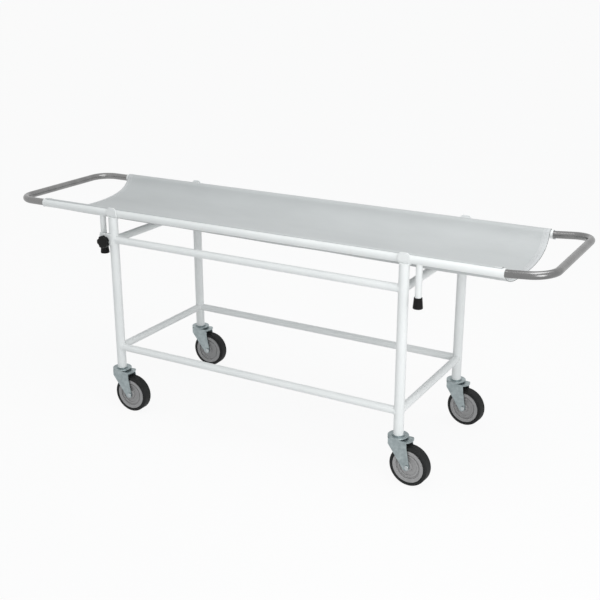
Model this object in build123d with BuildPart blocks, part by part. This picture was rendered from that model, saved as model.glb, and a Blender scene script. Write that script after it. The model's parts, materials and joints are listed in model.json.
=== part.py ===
from build123d import *

import os
from math import asin, atan, cos, degrees, hypot, radians, sin, sqrt, tan

# Hospital stretcher trolley: a welded tube frame on four swivel casters carries a lift-off
# stretcher of two side poles, a sagging vinyl sheet, four short feet and two pull-out handles.
# Millimetres. X runs along the length, -Y is the knob side, +Z is up.
# The origin is on the floor, midway between the four legs.

os.makedirs("parts", exist_ok=True)

# ---------------------------------------------------------------- clearances
running_gap = 0.05  # radial, between a turning or sliding shaft and its hole
loose_gap = 0.3  # between pieces that pass or rest on each other

# ---------------------------------------------------------------- trolley frame
leg_spacing_x = 1080.0
leg_spacing_y = 488.0
leg_d = 31.8
leg_wall = 2.0
rail_d = 25.4
rail_wall = 1.5
lower_rail_above_leg_end = 76.8  # from the leg's lower end to the rails' axis
upper_rail_below_pole = 91.0  # axis to axis

# ---------------------------------------------------------------- stretcher
pole_z = 720.0
pole_d = 28.6
pole_length = 1694.0
pole_inset = 10.0  # the poles lie this far inboard of the leg axes
stretcher_x = -8.0  # the stretcher lies a little towards the knob end
handle_d = 24.0
handle_wall = 1.5
handle_reach = {"left": 127.0, "right": 131.0}  # pole end to the axis of the cross bar
handle_rise = {"left": 0.0, "right": 10.0}  # how far the arms climb outside the poles
handle_bend = 66.0
handle_insert = 200.0  # length of each arm inside its pole
stop_screw_head_d = 8.0
stop_screw_head_h = 3.5
stop_screw_fillet = 1.2
stop_screw_shank_d = 5.0

foot_spacing = 1176.0
foot_shift = 3.0  # the feet sit this far to the right of the poles' middle
foot_d = 20.0
foot_wall = 1.5
foot_below_pole = 142.0  # from the pole's axis to the tube's lower end
cap_sole = 6.0
cap_grip = 28.0  # how far the cap reaches up the tube
cap_top_d = 25.0
cap_bottom_d = 31.0
cap_rim_fillet = 2.0

sheet_thickness = 1.6
sheet_end_margin = 8.0  # from the sheet's end to the pole's end
sheet_sag = 57.0  # from the pole's axis down to the middle of the sheet
sheet_outer_wrap = 24.0  # degrees past the top of the pole, outwards
sheet_inner_wrap = 70.0  # degrees past the top of the pole, inwards
sheet_shoulder = 48.0  # how far the steep part beside the pole runs
sheet_floor_half_width = 150.0  # how far the flat part in the middle reaches

# ---------------------------------------------------------------- saddles on the legs
saddle_thickness = 4.0
saddle_width = 38.0
saddle_ear_above_pole = 21.0  # from the pole's axis to the ear's top
saddle_ear_corner = 12.0
saddle_neck_chamfer = 3.0
saddle_inner_arc = 35.0  # degrees that the seat runs on past the pole's lowest line
leg_top_above_pole_bottom = 2.5

# ---------------------------------------------------------------- clamp at the front left leg
clamp_height = 42.0  # of the jaw
clamp_back_height = 28.0  # the back plate is shorter, and level with the jaw below
clamp_above_rail = 1.5  # from the upper rails' axis to the jaw's middle
clamp_plate = 3.5
clamp_leg_overlap = 2.0  # how far the jaw reaches past the leg's axis
clamp_foot_overlap = 1.0  # how far both plates reach past the foot's axis
clamp_corner = 6.0
clamp_rest_gap = 1.5  # the open jaw's gap to the leg
collar_above_cap = 2.0
stud_d = 8.0
stud_from_leg = 5.0
stud_below_middle = 6.5  # from the jaw's middle down to the stud
stud_end_gap = 1.5  # from the stud's end to the bottom of the knob's bore
knob_d = 43.0
knob_thickness = 15.0
knob_hub_d = 17.0
knob_hub_h = 2.0
knob_lobes = 5
knob_scallop_r = 9.0
knob_scallop_depth = 3.0
knob_edge_fillet = 2.5
knob_bore_depth = 11.0

# ---------------------------------------------------------------- casters
tyre_d = 129.0
tyre_width = 36.0
tyre_shoulder = 5.0
tyre_tread = 12.0  # from the hub's rim to the tread
hub_rim_width = 34.0
hub_rim_inner_d = 82.0
hub_web_width = 24.0
hub_ring_outer_d = 72.0
hub_ring_inner_d = 60.0
hub_ring_width = 28.0
hub_boss_d = 30.0
hub_boss_width = 37.0
hub_crest_fillet = 1.5
bush_d = 16.0
axle_d = 10.0
axle_head_d = 15.0
axle_head_h = 4.5
axle_nut_flats = 15.0
axle_nut_h = 7.0
axle_end_h = 1.5  # how far the axle's end stands out of its nut
caster_trail = 44.0
fork_gap = 40.0
fork_plate = 3.0
fork_eye_r = 12.5
fork_eye_behind_axle = 4.5
fork_top_back = 24.0  # the leg of the fork starts this far behind the king pin
fork_top_front = 38.0  # and ends this far in front of it
fork_flange_h = 16.0  # the leg hangs straight this far below the crown, then tapers
crown_d = 66.0
crown_reach = 18.0  # how much longer than wide the crown is
crown_plate = 3.5
tyre_to_crown = 16.0
ball_d = 4.0
ball_count = 10
ball_circle_d = 40.0
head_d = 66.0
head_plate = 3.6
head_edge_fillet = 1.2
head_neck_d = 40.0
head_neck_h = 2.0
skirt_outer_d = 58.0
skirt_wall = 2.0
skirt_above_crown = 1.2
king_pin_d = 12.0
king_pin_flats = 19.0
king_pin_head_h = 7.0
stem_plug_h = 45.0
caster_headings = {  # degrees that each caster trails away from +X
    "front_left": 1.0,
    "front_right": -4.0,
    "rear_left": 2.0,
    "rear_right": -8.0,
}

# ---------------------------------------------------------------- derived places
leg_x = leg_spacing_x / 2
leg_y = leg_spacing_y / 2
leg_r = leg_d / 2
pole_r = pole_d / 2
pole_y = leg_y - pole_inset
pole_half = pole_length / 2
handle_r = handle_d / 2
foot_half = foot_spacing / 2
feet_middle_x = stretcher_x + foot_shift
upper_rail_z = pole_z - upper_rail_below_pole
foot_bottom_z = pole_z - foot_below_pole
cap_bottom_z = foot_bottom_z - cap_sole
cap_top_z = foot_bottom_z + cap_grip
sheet_mid_z = pole_z - sheet_sag
saddle_ear_top_z = pole_z + saddle_ear_above_pole

hub_d = tyre_d - 2 * tyre_tread
axle_z = tyre_d / 2
crown_z = tyre_d + tyre_to_crown
head_z = crown_z + crown_plate + ball_d + 2 * running_gap
leg_bottom_z = head_z + head_plate + head_neck_h
lower_rail_z = leg_bottom_z + lower_rail_above_leg_end
leg_top_z = pole_z - pole_r + leg_top_above_pole_bottom

saddle_bore_r = pole_r + loose_gap
saddle_outer_r = saddle_bore_r + saddle_thickness

corners = {
    "front_left": (-leg_x, -leg_y),
    "front_right": (leg_x, -leg_y),
    "rear_left": (-leg_x, leg_y),
    "rear_right": (leg_x, leg_y),
}


def save(piece, label):
    """Label a finished piece and write it as its own STEP file."""
    piece.part.label = label
    export_step(piece.part, f"parts/{label}.step")


def outward(value):
    """+1 or -1: the side of the middle on which a coordinate lies."""
    return 1 if value > 0 else -1


# ================================================================ welded trolley frame
def make_leg(label, x, y):
    """A leg tube whose top is coped round the saddle that is welded on it."""
    with BuildPart() as leg:
        with BuildSketch(Plane.XY.offset(leg_bottom_z)):
            with Locations((x, y)):
                Circle(leg_r)
                Circle(leg_r - leg_wall, mode=Mode.SUBTRACT)
        extrude(amount=leg_top_z - leg_bottom_z)
        with BuildSketch(Plane.YZ.offset(x)):
            with Locations((outward(y) * pole_y, pole_z)):
                Circle(saddle_outer_r)
        extrude(amount=leg_d, both=True, mode=Mode.SUBTRACT)
    save(leg, label)


def make_saddle(label, x, y):
    """A bent plate that seats the pole, with an ear that rises outside it."""
    side = outward(y)
    centre = (side * pole_y, pole_z)
    outer_angle = 0 if side > 0 else 180
    seat_sweep = -side * (90 + saddle_inner_arc)
    ear_middle_r = (saddle_bore_r + saddle_outer_r) / 2
    with BuildPart() as saddle:
        with BuildSketch(Plane.YZ.offset(x)):
            with BuildLine():
                seat = CenterArc(centre, saddle_bore_r, outer_angle, seat_sweep)
                back = CenterArc(centre, saddle_outer_r, outer_angle, seat_sweep)
                Line(seat @ 1, back @ 1)
                Line(seat @ 0, back @ 0)
            make_face()
            with Locations((side * (pole_y + ear_middle_r), (pole_z + saddle_ear_top_z) / 2)):
                Rectangle(saddle_thickness, saddle_ear_top_z - pole_z)
        extrude(amount=saddle_width / 2, both=True)
        with BuildSketch(Plane.XZ):
            with Locations((x, saddle_ear_top_z)):
                outline_h = saddle_ear_top_z - leg_top_z + leg_d
                Rectangle(saddle_width, outline_h, align=(Align.CENTER, Align.MAX))
            with Locations((x, leg_top_z)):
                neck_w = saddle_width - leg_d
                Rectangle(saddle_width, leg_d, align=(Align.CENTER, Align.MAX), mode=Mode.SUBTRACT)
                Rectangle(saddle_width - neck_w, leg_d, align=(Align.CENTER, Align.MAX))
            neck = vertices().group_by(Axis.Y)[1].sort_by(Axis.X)
            chamfer([neck[0], neck[-1]], saddle_neck_chamfer)
            fillet(vertices().group_by(Axis.Y)[-1], saddle_ear_corner)
        extrude(amount=leg_spacing_y, both=True, mode=Mode.INTERSECT)
    save(saddle, label)


def make_rail(label, start, end, z):
    """A tube between two legs, coped to both; a side tube is also coped to the long tubes."""
    run = Vector(*end) - Vector(*start)
    with BuildPart() as rail:
        with BuildSketch(Plane(origin=(*start, z), z_dir=run)):
            Circle(rail_d / 2)
            Circle(rail_d / 2 - rail_wall, mode=Mode.SUBTRACT)
        extrude(amount=run.length)
        with BuildSketch(Plane.XY.offset(z - rail_d)):
            with Locations(start, end):
                Circle(leg_r)
        extrude(amount=2 * rail_d, mode=Mode.SUBTRACT)
        if abs(run.Y) > abs(run.X):
            with BuildSketch(Plane.YZ.offset(start[0])):
                with Locations((start[1], z), (end[1], z)):
                    Circle(rail_d / 2)
            extrude(amount=rail_d, both=True, mode=Mode.SUBTRACT)
    save(rail, label)


for corner, (x, y) in corners.items():
    make_leg(f"leg_{corner}", x, y)
    make_saddle(f"saddle_{corner}", x, y)

rail_ends = {
    "front": ("front_left", "front_right"),
    "rear": ("rear_left", "rear_right"),
    "left": ("front_left", "rear_left"),
    "right": ("front_right", "rear_right"),
}
for side, (first, second) in rail_ends.items():
    make_rail(f"lower_rail_{side}", corners[first], corners[second], lower_rail_z)
    make_rail(f"upper_rail_{side}", corners[first], corners[second], upper_rail_z)


# ================================================================ casters
def caster_plane(corner):
    """The floor plane below a leg, with X along the way the caster trails."""
    x, y = corners[corner]
    heading = radians(caster_headings[corner])
    return Plane(origin=(x, y, 0), x_dir=(cos(heading), sin(heading), 0), z_dir=(0, 0, 1))


def upright(base):
    """The caster's mid plane: X along the trail, Y up."""
    return Plane(origin=base.origin, x_dir=base.x_dir, z_dir=-base.y_dir)


def raised(base, height):
    """The caster's floor plane lifted to a height."""
    return base.offset(height)


def make_swivel_head(label, base):
    """The fixed upper half of the swivel: a dished plate with a skirt round the balls."""
    hole_r = king_pin_d / 2 + running_gap
    skirt_z = crown_z + crown_plate + skirt_above_crown
    with BuildPart() as head:
        with BuildSketch(upright(base)):
            with Locations((0, head_z)):
                Rectangle(head_d / 2, head_plate, align=Align.MIN)
            with Locations((0, head_z + head_plate)):
                Rectangle(head_neck_d / 2, head_neck_h, align=Align.MIN)
            with Locations((skirt_outer_d / 2 - skirt_wall, skirt_z)):
                Rectangle(skirt_wall, head_z - skirt_z + head_plate / 2, align=Align.MIN)
            with Locations((0, crown_z)):
                Rectangle(hole_r, leg_bottom_z, align=Align.MIN, mode=Mode.SUBTRACT)
        revolve(axis=Axis(base.origin, (0, 0, 1)))
        fillet(head.edges().filter_by(GeomType.CIRCLE).group_by(SortBy.RADIUS)[-1], head_edge_fillet)
    save(head, label)


def make_fork(label, base):
    """A pressed fork: a long round crown with two tapering legs that hold the axle."""
    with BuildPart() as fork:
        with BuildSketch(raised(base, crown_z)):
            with Locations((crown_reach / 2, 0)):
                SlotCenterToCenter(crown_reach, crown_d)
                Rectangle(crown_reach + crown_d, fork_gap + 2 * fork_plate, mode=Mode.INTERSECT)
        extrude(amount=crown_plate)
        for side in (-1, 1):
            with BuildSketch(upright(base).offset(side * (fork_gap + fork_plate) / 2)):
                with Locations((caster_trail - fork_eye_behind_axle, axle_z)):
                    Circle(fork_eye_r)
                with Locations((-fork_top_back, crown_z - fork_flange_h)):
                    Rectangle(fork_top_front + fork_top_back, fork_flange_h, align=Align.MIN)
                make_hull()
            extrude(amount=fork_plate / 2, both=True)
        with BuildSketch(upright(base)):
            with Locations((caster_trail, axle_z)):
                Circle(axle_d / 2 + running_gap)
        extrude(amount=crown_d, both=True, mode=Mode.SUBTRACT)
        with BuildSketch(raised(base, crown_z - crown_plate)):
            Circle(king_pin_d / 2 + running_gap)
        extrude(amount=leg_bottom_z - crown_z, mode=Mode.SUBTRACT)
    save(fork, label)


def make_ball_ring(label, base):
    """The loose balls on which the crown turns under the swivel head."""
    middle_z = crown_z + crown_plate + running_gap + ball_d / 2
    with BuildPart(raised(base, middle_z)) as balls:
        with PolarLocations(ball_circle_d / 2, ball_count):
            Sphere(ball_d / 2)
    save(balls, label)


def make_axle(label, base):
    """A domed axle bolt with its nut."""
    fork_outer = fork_gap / 2 + fork_plate
    with BuildPart() as axle:
        with BuildSketch(upright(base).offset(fork_outer)):
            with Locations((caster_trail, axle_z)):
                Circle(axle_head_d / 2)
        extrude(amount=axle_head_h)
        fillet(axle.faces().sort_by(Axis(base.origin, -base.y_dir))[-1].edges(), axle_head_h / 2)
        with BuildSketch(upright(base).offset(fork_outer)):
            with Locations((caster_trail, axle_z)):
                Circle(axle_d / 2)
        extrude(amount=-(2 * fork_outer + axle_nut_h + axle_end_h))
        with BuildSketch(upright(base).offset(-fork_outer)):
            with Locations((caster_trail, axle_z)):
                RegularPolygon(axle_nut_flats / 2, 6, major_radius=False)
        extrude(amount=-axle_nut_h)
    save(axle, label)


def wheel_profile_plane(base):
    """A plane through the axle: X along the axle, Y outwards from it."""
    centre = base.from_local_coords((caster_trail, 0, axle_z))
    return Plane(origin=centre, x_dir=-base.y_dir, z_dir=base.x_dir)


def wheel_axis(base):
    """The axis on which the wheel turns."""
    return Axis(wheel_profile_plane(base).origin, base.y_dir)


def band(width, outer_d, inner_d, mode=Mode.ADD):
    """One step of a wheel's half section, centred on the wheel's width."""
    with Locations((0, inner_d / 2)):
        Rectangle(width, (outer_d - inner_d) / 2, align=(Align.CENTER, Align.MIN), mode=mode)


def make_hub(label, base):
    """A moulded hub: a rim, a dished web with a raised ring, and a boss round the bush."""
    with BuildPart() as hub:
        with BuildSketch(wheel_profile_plane(base)):
            band(hub_rim_width, hub_d, hub_rim_inner_d)
            band(hub_web_width, hub_rim_inner_d, hub_boss_d)
            band(hub_ring_width, hub_ring_outer_d, hub_ring_inner_d)
            band(hub_boss_width, hub_boss_d, bush_d)
        revolve(axis=wheel_axis(base))
        steps = hub.edges().filter_by(GeomType.CIRCLE)
        step_radii = (hub_rim_inner_d / 2, hub_ring_outer_d / 2, hub_boss_d / 2)
        outer_steps = [e for e in steps if min(abs(e.radius - r) for r in step_radii) < running_gap]
        web_face = hub_web_width / 2 + running_gap
        crests = [e for e in outer_steps if abs((e.arc_center - base.origin).dot(base.y_dir)) > web_face]
        fillet(crests, hub_crest_fillet)
    save(hub, label)


def make_tyre(label, base):
    """A solid rubber tyre with rounded shoulders, bonded on the hub's rim."""
    with BuildPart() as tyre:
        with BuildSketch(wheel_profile_plane(base)):
            band(tyre_width, tyre_d, hub_d)
            fillet(vertices().group_by(Axis((0, 0, 0), (0, 0, 1)))[-1], tyre_shoulder)
        revolve(axis=wheel_axis(base))
    save(tyre, label)


def make_wheel_bush(label, base):
    """The steel bush that runs on the axle and spaces the hub inside the fork."""
    length = fork_gap - 2 * loose_gap
    with BuildPart() as bush:
        with BuildSketch(wheel_profile_plane(base)):
            band(length, bush_d, axle_d + 2 * running_gap)
        revolve(axis=wheel_axis(base))
    save(bush, label)


for corner in corners:
    floor_below = caster_plane(corner)
    make_swivel_head(f"swivel_head_{corner}", floor_below)
    make_fork(f"fork_{corner}", floor_below)
    make_ball_ring(f"ball_ring_{corner}", floor_below)
    make_axle(f"axle_{corner}", floor_below)
    make_hub(f"hub_{corner}", floor_below)
    make_tyre(f"tyre_{corner}", floor_below)
    make_wheel_bush(f"wheel_bush_{corner}", floor_below)

leg_places = list(corners.values())
plug_top_z = leg_bottom_z + stem_plug_h

# The plugs fill the leg ends, and each king pin clamps a plug and a swivel head together.
with BuildPart() as stem_plugs:
    with BuildSketch(Plane.XY.offset(leg_bottom_z)):
        with Locations(leg_places):
            Circle(leg_r - leg_wall - running_gap)
            Circle(king_pin_d / 2 + running_gap, mode=Mode.SUBTRACT)
    extrude(amount=stem_plug_h)
save(stem_plugs, "stem_plugs")

with BuildPart() as king_pins:
    with BuildSketch(Plane.XY.offset(crown_z - loose_gap)):
        with Locations(leg_places):
            RegularPolygon(king_pin_flats / 2, 6, major_radius=False)
    extrude(amount=-king_pin_head_h)
    with BuildSketch(Plane.XY.offset(crown_z - loose_gap)):
        with Locations(leg_places):
            Circle(king_pin_d / 2)
    extrude(amount=plug_top_z + king_pin_head_h - crown_z)
    with BuildSketch(Plane.XY.offset(plug_top_z)):
        with Locations(leg_places):
            RegularPolygon(king_pin_flats / 2, 6, major_radius=False)
    extrude(amount=king_pin_head_h)
save(king_pins, "king_pins")

# ================================================================ clamp on the front left leg
leg_line_x, leg_line_y = corners["front_left"]
clamped_foot_x = feet_middle_x - foot_half
clamp_z = upper_rail_z + clamp_above_rail
clamp_bottom_z = clamp_z - clamp_height / 2
stud_z = clamp_z - stud_below_middle
stud_x = leg_line_x - leg_r - stud_from_leg - stud_d / 2
plate_left_x = clamped_foot_x - clamp_foot_overlap
back_leg_y = leg_line_y + leg_r
step_start_x = clamped_foot_x - pole_y - back_leg_y + sqrt(2) * (leg_r + loose_gap)
knob_seat_y = leg_line_y - leg_r - clamp_rest_gap - clamp_plate


def bent_plate_outline(right_x, leg_face_y, foot_face_y, thickness):
    """A plate along X whose two flats are joined by a slope of 45 degrees, clear of the collar."""
    step_end_x = step_start_x - abs(foot_face_y - leg_face_y)
    corner_shift = abs(thickness) * tan(radians(45 / 2)) * outward(thickness)
    return [
        (right_x, leg_face_y),
        (step_start_x, leg_face_y),
        (step_end_x, foot_face_y),
        (plate_left_x, foot_face_y),
        (plate_left_x, foot_face_y + thickness),
        (step_end_x + corner_shift, foot_face_y + thickness),
        (step_start_x + corner_shift, leg_face_y + thickness),
        (right_x, leg_face_y + thickness),
    ]


# The back plate is welded to the leg and notched round the side rail.
with BuildPart() as clamp_back_plate:
    with BuildSketch(Plane.XY.offset(clamp_bottom_z)):
        with BuildLine():
            back_foot_y = back_leg_y + pole_inset + loose_gap
            back_outline = bent_plate_outline(leg_line_x, back_leg_y, back_foot_y, clamp_plate)
            Polyline(*back_outline, close=True)
        make_face()
    extrude(amount=clamp_back_height)
    fillet(clamp_back_plate.edges().filter_by(Axis.Y), clamp_corner)
    with BuildSketch(Plane.XZ):
        with Locations((stud_x, stud_z)):
            Circle(stud_d / 2)
        with Locations((leg_line_x, upper_rail_z)):
            Circle(rail_d / 2)
    extrude(amount=leg_spacing_y, mode=Mode.SUBTRACT)
save(clamp_back_plate, "clamp_back_plate")

with BuildPart() as clamp_jaw:
    with BuildSketch(Plane.XY.offset(clamp_bottom_z)):
        with BuildLine():
            jaw_leg_y = leg_line_y - leg_r - clamp_rest_gap
            jaw_foot_y = jaw_leg_y + pole_inset
            jaw_right_x = leg_line_x + clamp_leg_overlap
            jaw_outline = bent_plate_outline(jaw_right_x, jaw_leg_y, jaw_foot_y, -clamp_plate)
            Polyline(*jaw_outline, close=True)
        make_face()
    extrude(amount=clamp_height)
    fillet(clamp_jaw.edges().filter_by(Axis.Y), clamp_corner)
    with BuildSketch(Plane.XZ):
        with Locations((stud_x, stud_z)):
            Circle(stud_d / 2 + running_gap)
    extrude(amount=leg_spacing_y, mode=Mode.SUBTRACT)
save(clamp_jaw, "clamp_jaw")

knob_back_y = knob_seat_y - running_gap
stud_front_y = knob_back_y - knob_bore_depth + stud_end_gap
stud_back_y = back_leg_y + clamp_plate

with BuildPart() as clamp_stud:
    with BuildSketch(Plane.XZ.offset(-stud_back_y)):
        with Locations((stud_x, stud_z)):
            Circle(stud_d / 2)
    extrude(amount=stud_back_y - stud_front_y)
save(clamp_stud, "clamp_stud")

with BuildPart() as clamp_knob:
    with BuildSketch(Plane.XZ.offset(-knob_back_y)):
        with Locations((stud_x, stud_z)):
            Circle(knob_hub_d / 2)
    extrude(amount=knob_hub_h)
    with BuildSketch(Plane.XZ.offset(knob_hub_h - knob_back_y)):
        with Locations((stud_x, stud_z)):
            Circle(knob_d / 2)
            scallop_place_r = knob_d / 2 + knob_scallop_r - knob_scallop_depth
            with PolarLocations(scallop_place_r, knob_lobes):
                Circle(knob_scallop_r, mode=Mode.SUBTRACT)
    extrude(amount=knob_thickness)
    fillet(clamp_knob.faces().sort_by(Axis.Y)[0].edges(), knob_edge_fillet)
    with BuildSketch(Plane.XZ.offset(-knob_back_y)):
        with Locations((stud_x, stud_z)):
            Circle(stud_d / 2 + running_gap)
    extrude(amount=knob_bore_depth, mode=Mode.SUBTRACT)
save(clamp_knob, "clamp_knob")

# ================================================================ lift-off stretcher
handle_bore_r = handle_r + running_gap
for side_name, side in (("front", -1), ("rear", 1)):
    with BuildPart() as pole:
        with BuildSketch(Plane.YZ.offset(stretcher_x)):
            with Locations((side * pole_y, pole_z)):
                Circle(pole_r)
                Circle(handle_bore_r, mode=Mode.SUBTRACT)
        extrude(amount=pole_half, both=True)
    save(pole, f"pole_{side_name}")

foot_places = [
    (feet_middle_x + x_side * foot_half, y_side * pole_y) for x_side in (-1, 1) for y_side in (-1, 1)
]
clamped_foot = (clamped_foot_x, -pole_y)
collar_bottom_z = cap_top_z + collar_above_cap

with BuildPart() as foot_tubes:
    with BuildSketch(Plane.XY.offset(foot_bottom_z)):
        with Locations(foot_places):
            Circle(foot_d / 2)
            Circle(foot_d / 2 - foot_wall, mode=Mode.SUBTRACT)
    extrude(amount=pole_z - foot_bottom_z)
    with BuildSketch(Plane.YZ.offset(stretcher_x)):
        with Locations((-pole_y, pole_z), (pole_y, pole_z)):
            Circle(pole_r)
    extrude(amount=pole_half, both=True, mode=Mode.SUBTRACT)
save(foot_tubes, "foot_tubes")

with BuildPart() as foot_caps:
    with BuildSketch(Plane.XY.offset(cap_bottom_z)):
        with Locations(foot_places):
            Circle(cap_bottom_d / 2)
    cap_h = cap_top_z - cap_bottom_z
    extrude(amount=cap_h, taper=degrees(atan((cap_bottom_d - cap_top_d) / 2 / cap_h)))
    rims = foot_caps.faces().filter_by(Axis.Z).group_by(Axis.Z)[0].edges()
    fillet(rims, cap_rim_fillet)
    with BuildSketch(Plane.XY.offset(foot_bottom_z)):
        with Locations(foot_places):
            Circle(foot_d / 2)
    extrude(amount=cap_h, mode=Mode.SUBTRACT)
save(foot_caps, "foot_caps")

with BuildPart() as clamp_collar:
    with BuildSketch(Plane.XY.offset(collar_bottom_z)):
        with Locations(clamped_foot):
            Circle(leg_r)
            Circle(foot_d / 2, mode=Mode.SUBTRACT)
    extrude(amount=clamp_bottom_z + clamp_back_height - collar_bottom_z)
save(clamp_collar, "clamp_collar")


def sheet_edge(radius, floor_z):
    """Half of one surface of the sheet: over the rear pole, then down to the middle."""
    over_pole = CenterArc(
        (pole_y, pole_z), radius, 90 - sheet_outer_wrap, sheet_outer_wrap + sheet_inner_wrap
    )
    leave = over_pole @ 1
    shoulder = leave + (over_pole % 1) * sheet_shoulder
    down = Bezier(leave, shoulder, (sheet_floor_half_width, floor_z), (0, floor_z))
    return over_pole @ 0, down @ 1


with BuildPart() as sheet:
    sheet_under_r = pole_r + loose_gap
    with BuildSketch(Plane.YZ.offset(stretcher_x)):
        with BuildLine():
            under_start, under_end = sheet_edge(sheet_under_r, sheet_mid_z - sheet_thickness)
            top_start, top_end = sheet_edge(sheet_under_r + sheet_thickness, sheet_mid_z)
            Line(under_start, top_start)
            Line(under_end, top_end)
        make_face()
        mirror(about=Plane.YZ)
    extrude(amount=pole_half - sheet_end_margin, both=True)
save(sheet, "sheet")

# ---------------------------------------------------------------- pull-out handles
for side_name, side in (("left", -1), ("right", 1)):
    mouth_x = stretcher_x + side * pole_half
    inner_x = mouth_x - side * handle_insert
    screw_x = mouth_x + side * (stop_screw_head_d / 2 + loose_gap)
    screw_y = side * pole_y
    under_z = pole_z - handle_r

    # Past the stop screw the arms climb a little, so the loop lies in a plane of its own.
    knee_x = mouth_x + side * (stop_screw_head_d + 2 * loose_gap)
    knee_to_bar = handle_reach[side_name] - abs(knee_x - mouth_x)
    loop_length = hypot(knee_to_bar, handle_rise[side_name])
    climb = asin(handle_rise[side_name] / loop_length)
    along = (side * cos(climb), 0, sin(climb))
    across = (-side * sin(climb), 0, cos(climb))
    near_y = -side * pole_y
    far_y = side * pole_y
    with BuildLine(Plane(origin=(knee_x, 0, pole_z), x_dir=along, z_dir=across)) as loop:
        FilletPolyline(
            (0, near_y), (loop_length, near_y), (loop_length, far_y), (0, far_y), radius=handle_bend
        )
    with BuildLine() as bend_line:
        Line((inner_x, -pole_y, pole_z), loop.line @ 0)
        add(loop.line)
        Line(loop.line @ 1, (inner_x, pole_y, pole_z))

    with BuildPart() as handle:
        with BuildSketch(Plane(origin=bend_line.line @ 0, z_dir=(side, 0, 0))):
            Circle(handle_r)
            Circle(handle_r - handle_wall, mode=Mode.SUBTRACT)
        sweep(path=bend_line.line, transition=Transition.RIGHT)
        with BuildSketch(Plane.XY.offset(under_z - stop_screw_head_h)):
            with Locations((screw_x, screw_y)):
                Circle(stop_screw_shank_d / 2)
        extrude(amount=stop_screw_head_h + handle_r, mode=Mode.SUBTRACT)
    save(handle, f"handle_{side_name}")

    with BuildPart() as stop_screw:
        with BuildSketch(Plane.XY.offset(under_z)):
            with Locations((screw_x, screw_y)):
                Circle(stop_screw_head_d / 2)
        extrude(amount=-stop_screw_head_h)
        fillet(stop_screw.faces().sort_by(Axis.Z)[0].edges(), stop_screw_fillet)
        with BuildSketch(Plane.XY.offset(under_z)):
            with Locations((screw_x, screw_y)):
                Circle(stop_screw_shank_d / 2)
        extrude(amount=2 * handle_wall)
    save(stop_screw, f"stop_screw_{side_name}")
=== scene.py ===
"""Looks for the stretcher trolley: materials, welds, the hanging sheet, stage and camera."""

import json
import math
import random

import bpy
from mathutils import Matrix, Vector


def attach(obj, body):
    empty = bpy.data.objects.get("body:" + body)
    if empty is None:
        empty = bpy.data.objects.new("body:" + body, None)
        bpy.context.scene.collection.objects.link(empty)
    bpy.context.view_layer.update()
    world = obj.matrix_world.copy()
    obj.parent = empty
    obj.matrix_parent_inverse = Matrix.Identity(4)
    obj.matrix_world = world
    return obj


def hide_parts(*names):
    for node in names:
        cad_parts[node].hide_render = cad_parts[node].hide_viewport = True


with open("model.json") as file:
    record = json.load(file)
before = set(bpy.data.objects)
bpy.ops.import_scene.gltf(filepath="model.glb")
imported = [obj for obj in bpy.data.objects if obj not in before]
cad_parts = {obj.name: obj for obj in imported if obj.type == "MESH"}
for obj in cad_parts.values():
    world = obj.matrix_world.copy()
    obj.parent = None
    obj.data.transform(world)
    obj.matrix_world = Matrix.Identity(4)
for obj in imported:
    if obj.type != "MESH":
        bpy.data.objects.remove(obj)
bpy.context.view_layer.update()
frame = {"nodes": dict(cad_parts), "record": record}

# Sizes of the model that the pieces below follow, in metres.
LEG_X, LEG_Y, LEG_R = 0.540, 0.244, 0.0159
RAIL_R = 0.0127
RAIL_Z = (0.235, 0.629)
POLE_Y, POLE_Z, POLE_R = 0.234, 0.720, 0.0143
STRETCHER_X, POLE_HALF = -0.008, 0.847
FEET_X, FOOT_HALF, FOOT_R = -0.005, 0.588, 0.010
SHEET_HALF = POLE_HALF - 0.008
SHEET_T = 0.0016
HEM = 0.022  # width of the turned hem at each end

# ------------------------------------------------------------------ node helpers


def new_material(name):
    mat = bpy.data.materials.new(name)
    mat.use_nodes = True
    nodes = mat.node_tree.nodes
    return mat, nodes, mat.node_tree.links, nodes["Principled BSDF"]


def add(nodes, kind, **inputs):
    """A new node; an input's name has underscores for its spaces."""
    node = nodes.new(kind)
    for key, value in inputs.items():
        node.inputs[key.replace("_", " ")].default_value = value
    return node


def ramp(nodes, links, source, stops):
    node = nodes.new("ShaderNodeValToRGB")
    elements = node.color_ramp.elements
    while len(elements) < len(stops):
        elements.new(0.5)
    for element, (place, colour) in zip(elements, stops):
        element.position = place
        element.color = (*colour, 1)
    links.new(source, node.inputs["Fac"])
    return node.outputs["Color"]


def grey(value):
    return (value, value, value)


def span(nodes, links, source, low, high, start=0.0):
    """Maps source from start..1 to low..high."""
    node = add(nodes, "ShaderNodeMapRange", From_Min=start, To_Min=low, To_Max=high)
    links.new(source, node.inputs["Value"])
    return node.outputs["Result"]


def math_node(nodes, links, operation, *operands):
    """A math node whose operands are numbers or other nodes' outputs."""
    node = nodes.new("ShaderNodeMath")
    node.operation = operation
    for socket, operand in zip(node.inputs, operands):
        if isinstance(operand, bpy.types.NodeSocket):
            links.new(operand, socket)
        else:
            socket.default_value = operand
    return node.outputs["Value"]


def mix_colour(nodes, links, share, under, over, blend="MIX"):
    """Lays one flat colour over another node's colour, by share."""
    node = nodes.new("ShaderNodeMix")
    node.data_type = "RGBA"
    node.blend_type = blend
    factor, first, second = node.inputs[0], node.inputs[6], node.inputs[7]
    links.new(share, factor)
    links.new(under, first)
    second.default_value = (*over, 1)
    return node.outputs[2]


def mix_shader(nodes, links, share, first, second):
    node = nodes.new("ShaderNodeMixShader")
    links.new(share, node.inputs["Fac"])
    links.new(first, node.inputs[1])
    links.new(second, node.inputs[2])
    return node.outputs["Shader"]


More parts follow.
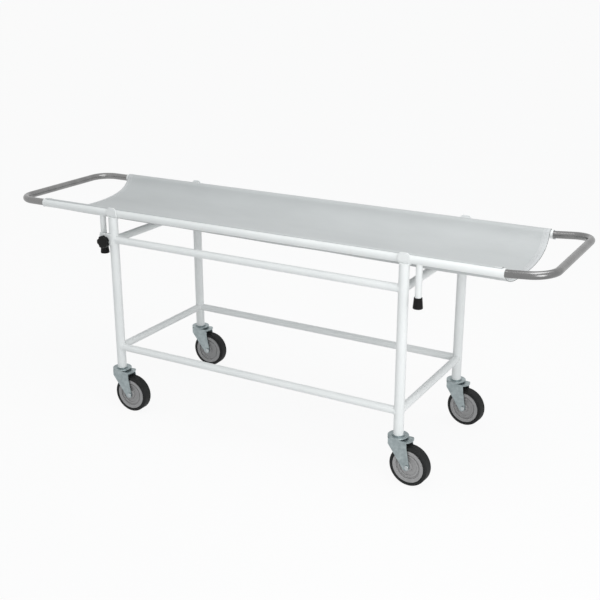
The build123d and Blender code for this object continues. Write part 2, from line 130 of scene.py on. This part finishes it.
def object_space(nodes, links, scale=(1, 1, 1)):
    coords = nodes.new("ShaderNodeTexCoord")
    mapping = add(nodes, "ShaderNodeMapping", Scale=scale)
    links.new(coords.outputs["Object"], mapping.inputs["Vector"])
    return mapping.outputs["Vector"]


def noise(nodes, links, vector, scale, detail=4.0, rough=0.6):
    node = add(nodes, "ShaderNodeTexNoise", Scale=scale, Detail=detail, Roughness=rough)
    links.new(vector, node.inputs["Vector"])
    return node.outputs["Fac"]


def bumps(nodes, links, bsdf, layers):
    """Chains bump nodes: each layer is (height, strength, distance)."""
    last = None
    for height, strength, distance in layers:
        bump = add(nodes, "ShaderNodeBump", Strength=strength, Distance=distance)
        links.new(height, bump.inputs["Height"])
        if last:
            links.new(last, bump.inputs["Normal"])
        last = bump.outputs["Normal"]
    links.new(last, bsdf.inputs["Normal"])


# ------------------------------------------------------------------ materials


def paint_material():
    """White powder coat: faint clouds in tone and gloss, and orange peel."""
    mat, nodes, links, bsdf = new_material("white_paint")
    here = object_space(nodes, links)
    cloud = noise(nodes, links, here, 9)
    peel = noise(nodes, links, here, 650, 2)
    tones = [(0.3, (0.83, 0.845, 0.84)), (0.7, (0.87, 0.88, 0.875))]
    links.new(ramp(nodes, links, cloud, tones), bsdf.inputs["Base Color"])
    links.new(span(nodes, links, cloud, 0.30, 0.42), bsdf.inputs["Roughness"])
    bsdf.inputs["Specular IOR Level"].default_value = 0.35
    bumps(nodes, links, bsdf, [(peel, 0.12, 0.0004)])
    return mat


def metal_material(name, dark, light, low, high, scale, stretch=(1, 1, 1), strength=0.1):
    """Metal with cloudy colour, and with roughness and bump from one fine noise."""
    mat, nodes, links, bsdf = new_material(name)
    here = object_space(nodes, links, stretch)
    cloud = noise(nodes, links, here, scale)
    fine = noise(nodes, links, here, scale * 14, 3)
    links.new(ramp(nodes, links, cloud, [(0.3, dark), (0.7, light)]), bsdf.inputs["Base Color"])
    links.new(span(nodes, links, fine, low, high), bsdf.inputs["Roughness"])
    bsdf.inputs["Metallic"].default_value = 1.0
    bumps(nodes, links, bsdf, [(fine, strength, 0.0002)])
    return mat


def moulded_material(name, dark, light, low, high, grain, strength, gloss=0.5):
    """Plastic, rubber or thread with a fine grain."""
    mat, nodes, links, bsdf = new_material(name)
    here = object_space(nodes, links)
    cloud = noise(nodes, links, here, 40)
    fine = noise(nodes, links, here, grain, 3)
    links.new(ramp(nodes, links, cloud, [(0.3, dark), (0.7, light)]), bsdf.inputs["Base Color"])
    links.new(span(nodes, links, cloud, low, high), bsdf.inputs["Roughness"])
    bsdf.inputs["Specular IOR Level"].default_value = gloss
    bumps(nodes, links, bsdf, [(fine, strength, 0.0003)])
    return mat


PAINTED_END_SHADE = 0.0012  # width of the painted shade at each end of the sheet, a dark strip standing in for the shadow on its thin end


def vinyl_material(name, dark, light):
    """Vinyl coated cloth: leather grain, shallow creases, paler hems, and painted shade along
    both ends for the shadow on the sheet's thickness.
    """
    mat, nodes, links, bsdf = new_material(name)
    here = object_space(nodes, links)
    wide = object_space(nodes, links, (0.35, 1, 1))
    cells = add(nodes, "ShaderNodeTexVoronoi", Scale=620)
    cells.feature = "SMOOTH_F1"
    links.new(here, cells.inputs["Vector"])
    cloud = noise(nodes, links, wide, 7)
    crease = noise(nodes, links, wide, 26, 2)
    colour = ramp(nodes, links, cloud, [(0.25, dark), (0.75, light)])
    place = nodes.new("ShaderNodeSeparateXYZ")
    links.new(here, place.inputs["Vector"])
    along = math_node(nodes, links, "SUBTRACT", place.outputs["X"], STRETCHER_X)
    from_middle = math_node(nodes, links, "ABSOLUTE", along)
    in_hem = math_node(nodes, links, "GREATER_THAN", from_middle, SHEET_HALF - HEM)
    # Painted shade: the end strip marked here is darkened below to stand in for the shadow on the
    # sheet's thickness.
    in_painted_end_shade = math_node(nodes, links, "GREATER_THAN", from_middle, SHEET_HALF - PAINTED_END_SHADE)
    colour = mix_colour(nodes, links, in_hem, colour, (0.16, 0.16, 0.165), "SCREEN")
    colour = mix_colour(nodes, links, in_painted_end_shade, colour, (0.16, 0.165, 0.165))
    links.new(colour, bsdf.inputs["Base Color"])
    links.new(span(nodes, links, cloud, 0.46, 0.58), bsdf.inputs["Roughness"])
    leather = cells.outputs["Distance"]
    bumps(nodes, links, bsdf, [(crease, 0.12, 0.004), (leather, 0.22, 0.0004)])
    return mat


# Dark and light tone, lowest and highest roughness, scale, and for the handles also the
# stretch along them and the bump's strength.
METALS = {
    "handle_steel": ((0.20, 0.20, 0.20), (0.28, 0.28, 0.277), 0.22, 0.32, 24, (0.15, 1, 1), 0.05),
    "zinc_plate": ((0.27, 0.315, 0.325), (0.41, 0.465, 0.475), 0.30, 0.52, 60),
    "bright_steel": ((0.38, 0.41, 0.42), (0.50, 0.53, 0.54), 0.25, 0.40, 90),
}
# Dark and light tone, lowest and highest roughness, grain's scale, bump's strength, and gloss.
MOULDED = {
    "hub_grey": ((0.315, 0.31, 0.31), (0.36, 0.355, 0.355), 0.42, 0.55, 900, 0.12),
    "tyre_black": ((0.010, 0.011, 0.011), (0.018, 0.019, 0.019), 0.6, 0.8, 700, 0.3, 0.25),
    "knob_black": (grey(0.006), grey(0.010), 0.3, 0.42, 1200, 0.08, 0.15),
    "cap_rubber": (grey(0.006), grey(0.010), 0.5, 0.65, 800, 0.2, 0.15),
    "plug_nylon": (grey(0.03), grey(0.04), 0.5, 0.6, 800, 0.1),
}

paint = paint_material()
finish_of = {"white_paint": paint}
for slot, look in METALS.items():
    finish_of[slot] = metal_material(slot, *look)
for slot, look in MOULDED.items():
    finish_of[slot] = moulded_material(slot, *look)
vinyl = vinyl_material("sheet_grey", (0.51, 0.525, 0.525), (0.575, 0.59, 0.59))
finish_of["sheet_grey"] = vinyl
thread = moulded_material("thread_grey", grey(0.55), grey(0.62), 0.7, 0.85, 3000, 0.4)

for row in frame["record"]["subparts"]:
    node = frame["nodes"][row["node"]]
    node.data.materials.clear()
    node.data.materials.append(finish_of[row["material_slot"]])

# ------------------------------------------------------------------ mesh helpers


def make_object(name, verts, faces, mat, smooth=True):
    mesh = bpy.data.meshes.new(name)
    mesh.from_pydata(verts, [], faces)
    mesh.update()
    obj = bpy.data.objects.new(name, mesh)
    bpy.context.scene.collection.objects.link(obj)
    mesh.materials.append(mat)
    for face in mesh.polygons:
        face.use_smooth = smooth
    return obj


def tube_along(points, radius, sides, closed, wobble=0.0, seed=1):
    """Vertices and faces of a round bead that follows points, uneven by wobble."""
    rng = random.Random(seed)
    verts, faces = [], []
    count = len(points)
    side = None
    for i, point in enumerate(points):
        before = points[i - 1] if closed or i else points[0]
        after = points[(i + 1) % count] if closed or i + 1 < count else points[-1]
        along = (after - before).normalized()
        if side is None:
            side = along.orthogonal().normalized()
        else:
            side = (side - along * side.dot(along)).normalized()
        up = along.cross(side)
        r = radius * (1 + wobble * rng.uniform(-1, 1))
        for k in range(sides):
            turn = 2 * math.pi * k / sides
            verts.append(point + (side * math.cos(turn) + up * math.sin(turn)) * r)
    for i in range(count if closed else count - 1):
        ring, next_ring = i * sides, ((i + 1) % count) * sides
        for k in range(sides):
            after = (k + 1) % sides
            faces.append((ring + k, ring + after, next_ring + after, next_ring + k))
    if not closed:
        faces.append(tuple(range(sides))[::-1])
        faces.append(tuple((count - 1) * sides + k for k in range(sides)))
    return verts, faces


def merge(parts):
    """Joins (verts, faces) pairs into one pair."""
    verts, faces = [], []
    for more_verts, more_faces in parts:
        start = len(verts)
        verts += more_verts
        faces += [tuple(i + start for i in face) for face in more_faces]
    return verts, faces


# ------------------------------------------------------------------ weld beads

UP = Vector((0, 0, 1))
RAIL_BEAD_R, FOOT_BEAD_R = 0.0017, 0.0014
BEAD_SIDES = 7
BEAD_WOBBLE = 0.16  # of its radius


def cope_line(centre, along, up, tube_r, post_r, steps):
    """The line where a tube that leaves a post's axis at centre meets the post's skin."""
    side = up.cross(along)
    line = []
    for k in range(steps):
        turn = 2 * math.pi * k / steps
        across = tube_r * math.cos(turn)
        reach = math.sqrt(post_r**2 - across**2)
        line.append(centre + along * reach + side * across + up * (tube_r * math.sin(turn)))
    return line


beads = []
for i, x in enumerate((-LEG_X, LEG_X)):
    for j, y in enumerate((-LEG_Y, LEG_Y)):
        inward = (Vector((-1 if x > 0 else 1, 0, 0)), Vector((0, -1 if y > 0 else 1, 0)))
        for k, z in enumerate(RAIL_Z):
            for m, along in enumerate(inward):
                line = cope_line(Vector((x, y, z)), along, UP, RAIL_R, LEG_R, steps=44)
                seed = 1 + i + 2 * j + 4 * k + 8 * m
                beads.append(tube_along(line, RAIL_BEAD_R, BEAD_SIDES, True, BEAD_WOBBLE, seed))
welds = make_object("rail_welds", *merge(beads), paint)
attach(welds, "trolley")

beads = []
for x in (FEET_X - FOOT_HALF, FEET_X + FOOT_HALF):
    for y in (-POLE_Y, POLE_Y):
        top = Vector((x, y, POLE_Z))
        line = cope_line(top, -UP, Vector((1, 0, 0)), FOOT_R, POLE_R, steps=36)
        beads.append(tube_along(line, FOOT_BEAD_R, BEAD_SIDES, True, BEAD_WOBBLE, seed=3))
foot_welds = make_object("foot_welds", *merge(beads), paint)
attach(foot_welds, "stretcher")

# The saddles leave a crescent of each leg's bore open, and a weld fills it.
FILL_R = LEG_R - 0.0018
FILL_Y = 0.0042  # from the leg's axis out to the crescent's straight side
FILL_Z, FILL_T = 0.7078, 0.0016  # its top and its thickness
FILL_POINTS = 21  # round its rim

caps = []
for x in (-LEG_X, LEG_X):
    for side in (-1, 1):
        start = math.asin(FILL_Y / FILL_R)
        rim = []
        for k in range(FILL_POINTS):
            turn = start + (math.pi - 2 * start) * k / (FILL_POINTS - 1)
            rim.append((x + FILL_R * math.cos(turn), side * (LEG_Y + FILL_R * math.sin(turn))))
        verts = [Vector((u, v, z)) for z in (FILL_Z, FILL_Z - FILL_T) for u, v in rim]
        top = tuple(range(FILL_POINTS))
        faces = [top, tuple(k + FILL_POINTS for k in reversed(top))]
        for k in top:
            after = (k + 1) % FILL_POINTS
            faces.append((k, k + FILL_POINTS, after + FILL_POINTS, after))
        if side < 0:
            faces = [face[::-1] for face in faces]
        caps.append((verts, faces))
fills = make_object("leg_top_fills", *merge(caps), paint, smooth=False)
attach(fills, "trolley")

# ------------------------------------------------------------------ the vinyl sheet

POLE_GAP = 0.0003  # between a pole and the solid sheet
SAG = 0.057  # from the poles' axes down to the sheet's upper face
MID_R = POLE_R + POLE_GAP + SHEET_T / 2  # of the sheet's middle line round a pole
MID_Z = POLE_Z - SAG - SHEET_T / 2  # lowest point of the middle line, half-way along
SKIN_T = SHEET_T - 0.0002  # a little thinner than the solid, so clear of the poles
OUTER, INNER = math.radians(24), math.radians(70)  # wrap each way from a pole's top
SHOULDER, FLOOR_Y = 0.048, 0.150  # pull of the curve's two handles between pole and middle
WRAP_POINTS, CURVE_POINTS = 40, 200
ACROSS_STEP = 0.0035
LENGTH_STEPS = 150
SLACK = 0.0055  # the middle hangs this much lower at the right end, higher at the left
# Height, and waves per metre (in radians) along and across.
RIPPLES = ((0.0009, 11.0, 9.0), (0.0006, 23.0, -17.0))
HEM_RISE = 0.0007
HEM_STEP = 0.003  # the hem rises over this length
HEM_STEPS = 12


def half_profile():
    """The sheet's middle line over the rear pole and down to the middle."""
    line = []
    for k in range(WRAP_POINTS):
        turn = math.pi / 2 - OUTER + (OUTER + INNER) * k / (WRAP_POINTS - 1)
        line.append(Vector((0, POLE_Y + MID_R * math.cos(turn), POLE_Z + MID_R * math.sin(turn))))
    leave = line[-1]
    turn = math.pi / 2 + INNER
    shoulder = leave + Vector((0, -math.sin(turn), math.cos(turn))) * SHOULDER
    floor, middle = Vector((0, FLOOR_Y, MID_Z)), Vector((0, 0, MID_Z))
    for k in range(1, CURVE_POINTS):
        t = k / (CURVE_POINTS - 1)
        a, b, c, d = (1 - t) ** 3, 3 * t * (1 - t) ** 2, 3 * t * t * (1 - t), t**3
        line.append(leave * a + shoulder * b + floor * c + middle * d)
    return line


def resample(line, step):
    """The line in even steps of about step, and its length."""
    length = sum((b - a).length for a, b in zip(line, line[1:]))
    count = max(2, round(length / step))
    out, walked, i = [line[0]], 0.0, 0
    for k in range(1, count):
        goal = length * k / count
        while walked + (line[i + 1] - line[i]).length < goal:
            walked += (line[i + 1] - line[i]).length
            i += 1
        t = (goal - walked) / (line[i + 1] - line[i]).length
        out.append(line[i].lerp(line[i + 1], t))
    return out + [line[-1]], length


half, half_length = resample(half_profile(), ACROSS_STEP)
profile = half + [Vector((0, -p.y, p.z)) for p in reversed(half[:-1])]
across = len(profile)


def sheet_point(s, i, lift):
    """A point of the hanging sheet, s along it and i across it, and the direction across."""
    p = profile[i]
    run = (profile[min(i + 1, across - 1)] - profile[max(i - 1, 0)]).normalized()
    normal = Vector((0, run.z, -run.y))
    if normal.z < 0:
        normal = -normal
    hang = max(0.0, 1 - (p.z - MID_Z) / (POLE_Z - MID_Z))
    ripple = sum(high * math.sin(s * along + p.y * sideways) for high, along, sideways in RIPPLES)
    at = Vector((STRETCHER_X + s, p.y, p.z - hang * SLACK * s / SHEET_HALF))
    return at + normal * (lift + ripple * hang), run


def hem_height(from_end):
    """How far the turned hem stands up above the single layer."""
    return HEM_RISE * min(1.0, max(0.0, (HEM + HEM_STEP - from_end) / HEM_STEP))


# Places along the sheet, from one end to the other: close in the hems, even between them.
right_end = [SHEET_HALF - HEM * k / HEM_STEPS for k in range(HEM_STEPS + 1)]
right_end += [SHEET_HALF - HEM - HEM_STEP / 2, SHEET_HALF - HEM - HEM_STEP]
inner = [right_end[-1] * (1 - 2 * k / LENGTH_STEPS) for k in range(1, LENGTH_STEPS)]
stations = right_end + inner + [-s for s in reversed(right_end)]

verts, faces = [], []
for s in stations:
    rise = hem_height(SHEET_HALF - abs(s))
    verts += [sheet_point(s, i, rise / 2)[0] for i in range(across)]
for i in range(len(stations) - 1):
    for j in range(across - 1):
        a = i * across + j
        faces.append((a, a + 1, a + across + 1, a + across))
cloth = make_object("vinyl_sheet", verts, faces, vinyl)
thick = cloth.modifiers.new("thickness", "SOLIDIFY")
thick.thickness = SKIN_T
thick.offset = 0
edge = cloth.modifiers.new("edge", "BEVEL")
edge.width = 0.0004
edge.segments = 1
edge.limit_method = "ANGLE"
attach(cloth, "stretcher")
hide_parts("sheet")

# Stitches along both hems, on the upper face.
STITCH_ROWS = (HEM - 0.003, HEM - 0.009)  # from the sheet's end
STITCH_HALF, STITCH_R, STITCH_SIDES = 0.0012, 0.0004, 5
STITCH_LIFT = SHEET_T / 2 + 0.00065

stitches = []
for end in (-1, 1):
    for inset in STITCH_ROWS:
        for i in range(2, across - 2):
            at, run = sheet_point(end * (SHEET_HALF - inset), i, STITCH_LIFT)
            line = [at - run * STITCH_HALF, at, at + run * STITCH_HALF]
            stitches.append(tube_along(line, STITCH_R, STITCH_SIDES, False))
sewing = make_object("hem_stitches", *merge(stitches), thread)
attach(sewing, "stretcher")

# ------------------------------------------------------------------ camera, floor and light

FLOOR_HALF, FLOOR_Z = 45, -0.0005
FLOOR_GLOW = 0.92  # share of plain white in the floor; the rest shows the object's shadow
TOWARDS_LIGHT = (0.70, -0.62, 0.34)  # where the room is brightest
ROOM_DARK, ROOM_BRIGHT = 0.32, 0.80

# Fitted to the straight tubes in the photograph.
scene = bpy.context.scene
camera = bpy.data.objects.new("camera", bpy.data.cameras.new("camera"))
scene.collection.objects.link(camera)
camera.location = (1.6429, -2.8021, 1.5561)
camera.rotation_euler = (math.radians(70.844), 0, math.radians(29.54))
camera.data.sensor_width = 36
camera.data.lens = 59.905
camera.data.clip_end = 150
camera.data.shift_x = -0.00067
scene.camera = camera


def sees_background(nodes, links):
    """1 for rays that show the plain background: camera, glossy and transmission rays."""
    path = nodes.new("ShaderNodeLightPath")
    seen = path.outputs["Is Camera Ray"]
    for ray in ("Is Glossy Ray", "Is Transmission Ray"):
        seen = math_node(nodes, links, "MAXIMUM", seen, path.outputs[ray])
    return seen


def backdrop_material():
    """A near-white floor that keeps a faint shadow and gives the object a soft bounce."""
    mat = bpy.data.materials.new("floor_white")
    mat.use_nodes = True
    nodes, links = mat.node_tree.nodes, mat.node_tree.links
    nodes.clear()
    out = nodes.new("ShaderNodeOutputMaterial")
    white = add(nodes, "ShaderNodeEmission", Color=(1, 1, 1, 1), Strength=1.0)
    lit = add(nodes, "ShaderNodeBsdfDiffuse", Color=(0.75, 0.75, 0.75, 1))
    share = math_node(nodes, links, "MULTIPLY", sees_background(nodes, links), FLOOR_GLOW)
    shown = mix_shader(nodes, links, share, lit.outputs["BSDF"], white.outputs["Emission"])
    links.new(shown, out.inputs["Surface"])
    return mat


corners = [(-1, -1), (1, -1), (1, 1), (-1, 1)]
floor = make_object(
    "floor",
    [(FLOOR_HALF * x, FLOOR_HALF * y, FLOOR_Z) for x, y in corners],
    [(0, 1, 2, 3)],
    backdrop_material(),
    smooth=False,
)

# The world lights the object as a room that is brighter on one side, and shows as white.
world = bpy.data.worlds.new("studio")
scene.world = world
world.use_nodes = True
nodes, links = world.node_tree.nodes, world.node_tree.links
nodes.clear()
out = nodes.new("ShaderNodeOutputWorld")
white = add(nodes, "ShaderNodeBackground", Color=(0.965, 0.965, 0.965, 1), Strength=1.0)
soft = add(nodes, "ShaderNodeBackground", Color=(0.95, 0.985, 1.0, 1))
direction = nodes.new("ShaderNodeTexCoord")
facing = nodes.new("ShaderNodeVectorMath")
facing.operation = "DOT_PRODUCT"
facing.inputs[1].default_value = TOWARDS_LIGHT
links.new(direction.outputs["Generated"], facing.inputs[0])
room = span(nodes, links, facing.outputs["Value"], ROOM_DARK, ROOM_BRIGHT, start=-1.0)
links.new(room, soft.inputs["Strength"])
shown = mix_shader(
    nodes,
    links,
    sees_background(nodes, links),
    soft.outputs["Background"],
    white.outputs["Background"],
)
links.new(shown, out.inputs["Surface"])


def area_light(name, place, target, size, power):
    """A rectangular lamp at place, turned towards target."""
    data = bpy.data.lights.new(name, "AREA")
    data.shape = "RECTANGLE"
    data.size, data.size_y = size
    data.energy = power
    lamp = bpy.data.objects.new(name, data)
    scene.collection.objects.link(lamp)
    lamp.location = place
    lamp.visible_camera = False
    lamp.rotation_euler = (Vector(target) - Vector(place)).to_track_quat("-Z", "Y").to_euler()


area_light("key", (2.0, -1.6, 0.9), (0.4, 0, 0.45), (1.2, 1.0), 13.5)
area_light("top", (1.0, -0.4, 2.9), (0.1, 0, 0.6), (2.2, 1.4), 28)

scene.view_settings.view_transform = "Standard"
